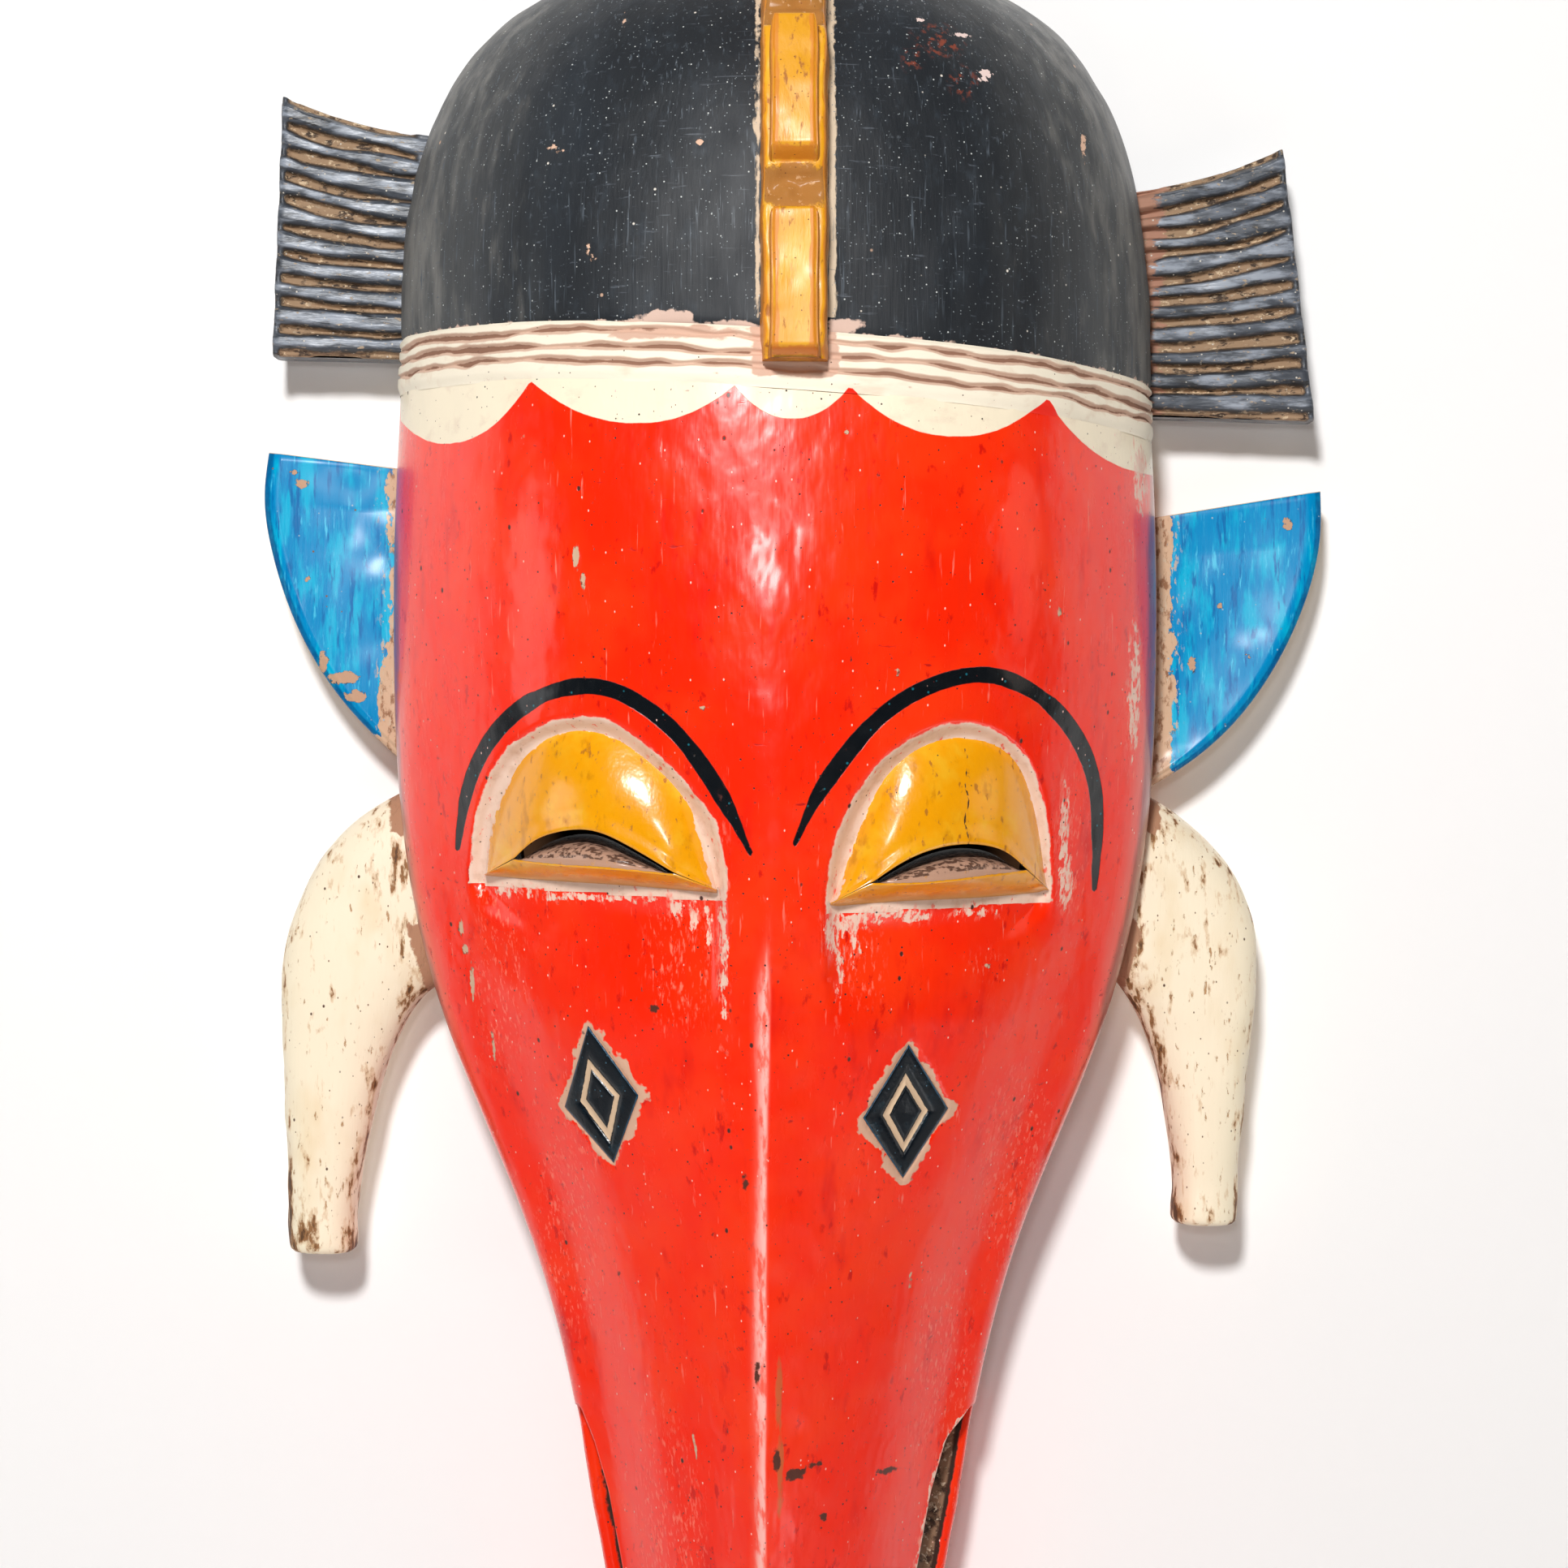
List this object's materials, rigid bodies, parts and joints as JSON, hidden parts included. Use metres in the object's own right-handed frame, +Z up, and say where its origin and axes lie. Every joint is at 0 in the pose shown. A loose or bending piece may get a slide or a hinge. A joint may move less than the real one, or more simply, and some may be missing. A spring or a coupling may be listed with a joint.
{
  "type": "carved wooden mask",
  "caption": "Painted wooden bird mask with a long beak, domed crown and crest, slit eyes, cheek diamonds, side combs, ears and hanging horns; hangs from a blind hole in its flat back rim.",
  "frame": {"origin": "centre of the hanging hole's mouth, in the flat back rim near the top of the crown", "axes": "+Z up along the face, +X to the right of someone facing the mask, +Y from the face back towards the wall"},
  "size_m": [0.2306, 0.099, 0.4406],
  "materials": {
    "red_paint": "glossy vermilion enamel over carved wood, with chips, scratches and bare rims",
    "black_paint": "satin blue-black paint over carved wood, with grain and fine pale specks",
    "cream_paint": "semi-matte cream paint, incised and worn down to pinkish wood",
    "ochre_paint": "glossy ochre paint with darker edges",
    "comb_paint": "dull charcoal paint with tan wood showing in the grooves",
    "blue_paint": "glossy blue paint, worn to bare wood along the joint",
    "horn_paint": "semi-matte cream paint with brown spots and worn feet",
    "diamond_paint": "glossy blue-black paint with an incised tan ring"
  },
  "bodies": {
    "root": {"crown_cap": "black_paint", "brow_band": "cream_paint", "face_shell": "red_paint", "lower_beak": "red_paint", "crest_keel": "ochre_paint", "crest_block_lower": "ochre_paint", "crest_block_middle": "ochre_paint", "crest_block_upper": "ochre_paint", "comb_left": "comb_paint", "comb_right": "comb_paint", "ear_left": "blue_paint", "ear_right": "blue_paint", "horn_left": "horn_paint", "horn_right": "horn_paint", "eyelid_left": "ochre_paint", "eyelid_right": "ochre_paint", "cheek_diamond_left": "diamond_paint", "cheek_diamond_right": "diamond_paint"}
  },
  "joints": []
}
